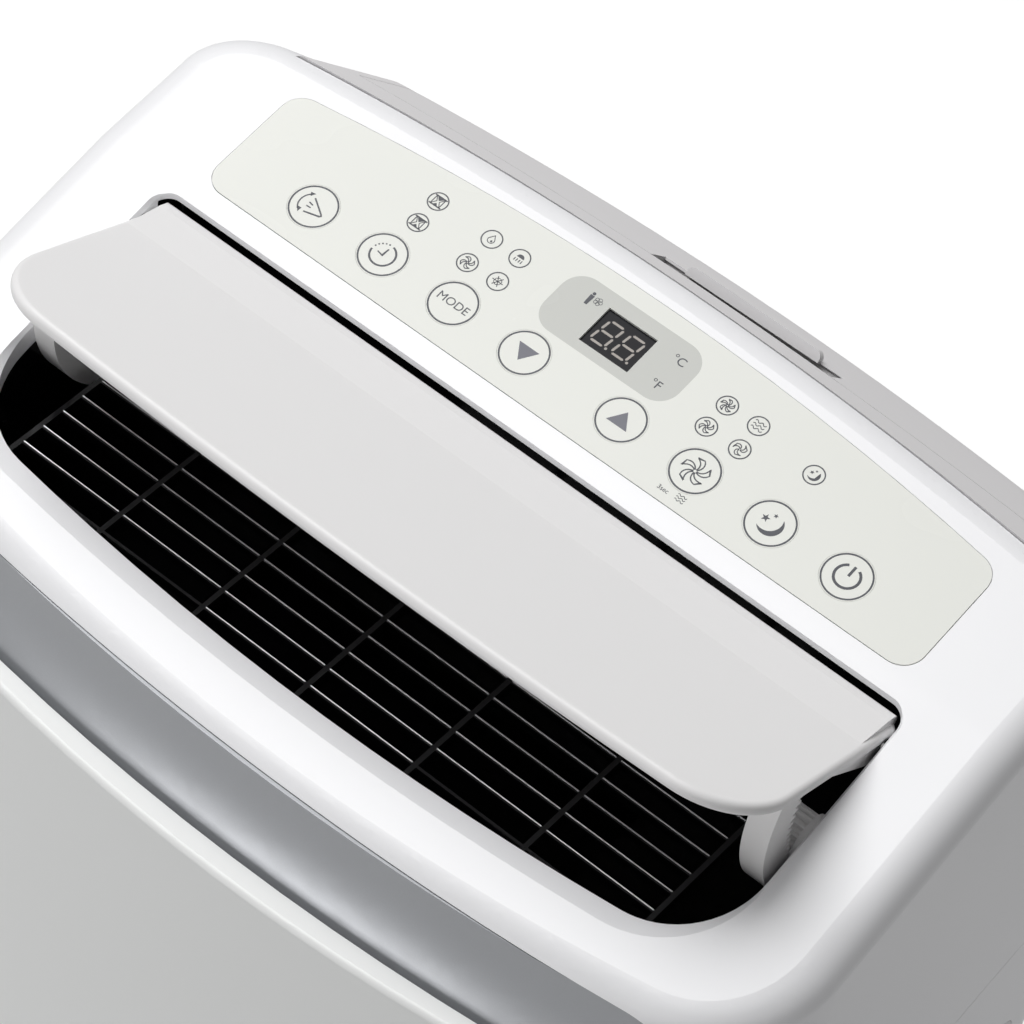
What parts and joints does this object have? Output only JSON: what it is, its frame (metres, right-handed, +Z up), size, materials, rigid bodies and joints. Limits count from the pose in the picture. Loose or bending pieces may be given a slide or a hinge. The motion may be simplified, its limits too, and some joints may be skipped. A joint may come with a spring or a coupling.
{
  "type": "portable air conditioner",
  "caption": "Upright room air conditioner on casters: sloping key deck with display, geared flap over a top air outlet, side grips, rear filters and a hose collar.",
  "frame": {"origin": "on the floor, below the middle of the body's width and depth", "axes": "+X to the right seen from the front, +Y to the back, +Z up"},
  "size_m": [0.46, 0.3862, 0.761],
  "materials": {
    "white_abs": "satin white moulded ABS",
    "panel_abs": "satin off-white moulded ABS",
    "silver_trim": "silver lacquered ABS",
    "grey_abs": "fine-textured light grey ABS",
    "black_abs": "black moulded ABS",
    "overlay_film": "cream printed film, satin",
    "display_lens": "dark display resin",
    "circuit_board": "green solder mask",
    "base_plastic": "dark grey polypropylene",
    "coil_fins": "mill finish fins",
    "black_steel": "black enamel",
    "bright_steel": "zinc plated",
    "copper": "drawn copper",
    "black_rubber": "moulded rubber",
    "caster_black": "black nylon"
  },
  "bodies": {
    "root": {"top_cover": "white_abs", "front_panel": "panel_abs", "trim_band": "silver_trim", "side_panel_left": "white_abs", "side_panel_right": "white_abs", "handle_cup_left": "grey_abs", "handle_cup_right": "grey_abs", "rear_cover": "grey_abs", "rear_lower_cover": "grey_abs", "exhaust_collar": "grey_abs", "drain_spout": "grey_abs", "cord_gland": "black_rubber", "base_pan": "base_plastic", "discharge_duct": "black_abs", "discharge_grille": "black_abs", "flap_motor": "bright_steel", "drive_cover": "white_abs", "control_overlay": "overlay_film", "control_board": "circuit_board", "display_module": "display_lens", "partition_plate": "base_plastic", "evaporator_coil": "coil_fins", "condenser_coil": "coil_fins", "compressor": "black_steel", "compressor_grommets": "black_rubber", "refrigerant_pipes": "copper", "blower_scroll": "black_abs", "blower_motor": "bright_steel", "fan_scroll": "black_abs", "fan_motor": "bright_steel", "electrical_box": "base_plastic"},
    "flap_body": {"flap": "white_abs", "flap_sector_arm": "white_abs", "flap_guide_arm": "white_abs", "flap_hinge_pins": "bright_steel"},
    "pinion": {"drive_pinion": "black_abs"},
    "upper_filter": {"filter_frame": "grey_abs", "filter_mesh": "black_abs"},
    "lower_frame": {"lower_intake_frame": "grey_abs"},
    "plug": {"drain_plug": "black_rubber"},
    "blower": {"blower_wheel": "black_abs", "blower_shaft": "bright_steel"},
    "fan": {"fan_wheel": "black_abs", "fan_shaft": "bright_steel"},
    "key_swing_body": {"key_swing": "overlay_film"},
    "key_timer_body": {"key_timer": "overlay_film"},
    "key_mode_body": {"key_mode": "overlay_film"},
    "key_down_body": {"key_down": "overlay_film"},
    "key_up_body": {"key_up": "overlay_film"},
    "key_fan_body": {"key_fan": "overlay_film"},
    "key_sleep_body": {"key_sleep": "overlay_film"},
    "key_power_body": {"key_power": "overlay_film"},
    "swivel_front_left": {"caster_fork_front_left": "caster_black"},
    "wheel_front_left": {"caster_wheel_front_left": "caster_black"},
    "swivel_front_right": {"caster_fork_front_right": "caster_black"},
    "wheel_front_right": {"caster_wheel_front_right": "caster_black"},
    "swivel_rear_left": {"caster_fork_rear_left": "caster_black"},
    "wheel_rear_left": {"caster_wheel_rear_left": "caster_black"},
    "swivel_rear_right": {"caster_fork_rear_right": "caster_black"},
    "wheel_rear_right": {"caster_wheel_rear_right": "caster_black"}
  },
  "joints": [
    {"name": "flap_hinge", "type": "hinge", "parent": "root", "child": "flap_body", "pos_m": [0, -0.0113, 0.71508], "axis": [1, 0, 0], "range_deg": [-20, 38.4]},
    {"name": "pinion_spin", "type": "hinge", "parent": "root", "child": "pinion", "pos_m": [0, -0.04773, 0.69319], "axis": [1, 0, 0], "range_deg": [-125, 235]},
    {"name": "filter_pull", "type": "slide", "parent": "root", "child": "upper_filter", "axis": [0, 1, 0], "range_m": [0, 0.06]},
    {"name": "lower_frame_pull", "type": "slide", "parent": "root", "child": "lower_frame", "axis": [0, 1, 0], "range_m": [0, 0.04]},
    {"name": "drain_plug_pull", "type": "slide", "parent": "root", "child": "plug", "axis": [0, 1, 0], "range_m": [0, 0.03]},
    {"name": "blower_spin", "type": "hinge", "parent": "root", "child": "blower", "pos_m": [0, 0.043, 0.472], "axis": [0, 1, 0], "continuous": true},
    {"name": "fan_spin", "type": "hinge", "parent": "root", "child": "fan", "pos_m": [0.078, 0.054, 0.215], "axis": [1, 0, 0], "continuous": true},
    {"name": "press_swing", "type": "slide", "parent": "root", "child": "key_swing_body", "axis": [0, 0.1908, -0.9816], "range_m": [0, 0.0004], "stiffness_N_per_m": 900},
    {"name": "press_timer", "type": "slide", "parent": "root", "child": "key_timer_body", "axis": [0, 0.1908, -0.9816], "range_m": [0, 0.0004], "stiffness_N_per_m": 900},
    {"name": "press_mode", "type": "slide", "parent": "root", "child": "key_mode_body", "axis": [0, 0.1908, -0.9816], "range_m": [0, 0.0004], "stiffness_N_per_m": 900},
    {"name": "press_down", "type": "slide", "parent": "root", "child": "key_down_body", "axis": [0, 0.1908, -0.9816], "range_m": [0, 0.0004], "stiffness_N_per_m": 900},
    {"name": "press_up", "type": "slide", "parent": "root", "child": "key_up_body", "axis": [0, 0.1908, -0.9816], "range_m": [0, 0.0004], "stiffness_N_per_m": 900},
    {"name": "press_fan", "type": "slide", "parent": "root", "child": "key_fan_body", "axis": [0, 0.1908, -0.9816], "range_m": [0, 0.0004], "stiffness_N_per_m": 900},
    {"name": "press_sleep", "type": "slide", "parent": "root", "child": "key_sleep_body", "axis": [0, 0.1908, -0.9816], "range_m": [0, 0.0004], "stiffness_N_per_m": 900},
    {"name": "press_power", "type": "slide", "parent": "root", "child": "key_power_body", "axis": [0, 0.1908, -0.9816], "range_m": [0, 0.0004], "stiffness_N_per_m": 900},
    {"name": "swivel_front_left_turn", "type": "hinge", "parent": "root", "child": "swivel_front_left", "pos_m": [-0.18, -0.118, 0.06], "axis": [0, 0, 1], "continuous": true},
    {"name": "wheel_front_left_roll", "type": "hinge", "parent": "swivel_front_left", "child": "wheel_front_left", "pos_m": [-0.18, -0.104, 0.024], "axis": [1, 0, 0], "continuous": true},
    {"name": "swivel_front_right_turn", "type": "hinge", "parent": "root", "child": "swivel_front_right", "pos_m": [0.18, -0.118, 0.06], "axis": [0, 0, 1], "continuous": true},
    {"name": "wheel_front_right_roll", "type": "hinge", "parent": "swivel_front_right", "child": "wheel_front_right", "pos_m": [0.18, -0.104, 0.024], "axis": [1, 0, 0], "continuous": true},
    {"name": "swivel_rear_left_turn", "type": "hinge", "parent": "root", "child": "swivel_rear_left", "pos_m": [-0.18, 0.12, 0.06], "axis": [0, 0, 1], "continuous": true},
    {"name": "wheel_rear_left_roll", "type": "hinge", "parent": "swivel_rear_left", "child": "wheel_rear_left", "pos_m": [-0.18, 0.134, 0.024], "axis": [1, 0, 0], "continuous": true},
    {"name": "swivel_rear_right_turn", "type": "hinge", "parent": "root", "child": "swivel_rear_right", "pos_m": [0.18, 0.12, 0.06], "axis": [0, 0, 1], "continuous": true},
    {"name": "wheel_rear_right_roll", "type": "hinge", "parent": "swivel_rear_right", "child": "wheel_rear_right", "pos_m": [0.18, 0.134, 0.024], "axis": [1, 0, 0], "continuous": true}
  ],
  "couplings": [
    {"joint": "pinion_spin", "follows": "flap_hinge", "ratio": 5.8571}
  ]
}
